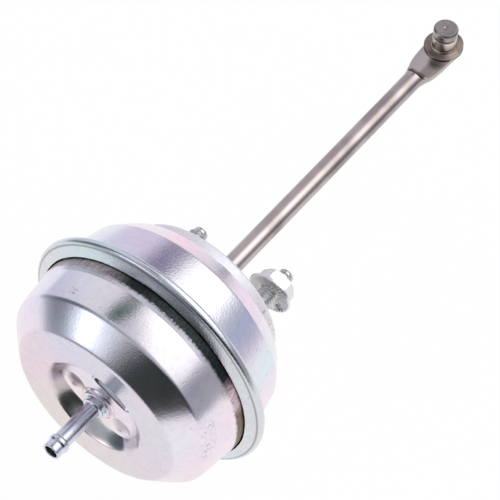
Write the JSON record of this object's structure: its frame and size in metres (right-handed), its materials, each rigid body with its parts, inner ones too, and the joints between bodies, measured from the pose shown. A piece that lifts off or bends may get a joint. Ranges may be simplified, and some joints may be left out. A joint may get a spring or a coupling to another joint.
{
  "type": "wastegate actuator",
  "caption": "Pressure-driven actuator: crimped pressed-steel can with a hose nipple in front and studs behind, and a sprung push rod that ends in a lever pin.",
  "frame": {"origin": "centre of the mounting face, between the two studs and on the rod's axis", "axes": "+X along the push rod away from the hose nipple, +Z along the lever pin towards its free end"},
  "size_m": [0.1917, 0.0804, 0.0804],
  "materials": {
    "zinc_plate": "bright zinc plate, faint iridescence",
    "zinc_steel": "bright zinc-plated fastener steel",
    "stainless": "turned and ground stainless steel",
    "pressed_steel": "plain pressed steel",
    "spring_steel": "oiled spring wire",
    "rubber": "matt black rubber",
    "dark_plastic": "moulded dark plastic",
    "bronze": "sintered bronze"
  },
  "bodies": {
    "housing": {"front_can": "zinc_plate", "rear_can": "zinc_plate", "hose_nipple": "zinc_steel", "diaphragm": "rubber", "return_spring": "spring_steel", "spring_seat": "dark_plastic", "rod_bush": "bronze", "rod_seal": "rubber", "seal_cover": "zinc_steel", "mounting_disc": "zinc_plate", "stud_left": "zinc_steel", "stud_right": "zinc_steel", "flange_nut": "zinc_steel"},
    "push_rod": {"piston_cup": "pressed_steel", "retainer_plate": "pressed_steel", "stop_bumper": "rubber", "backing_washer": "pressed_steel", "lock_nut": "zinc_steel", "rod": "stainless", "lever_pin": "stainless"}
  },
  "joints": [
    {"name": "rod_slide", "type": "slide", "parent": "housing", "child": "push_rod", "axis": [1, 0, 0], "range_m": [0, 0.012], "stiffness_N_per_m": 4300, "springref_m": -0.02, "deforming": ["return_spring", "diaphragm"]}
  ]
}
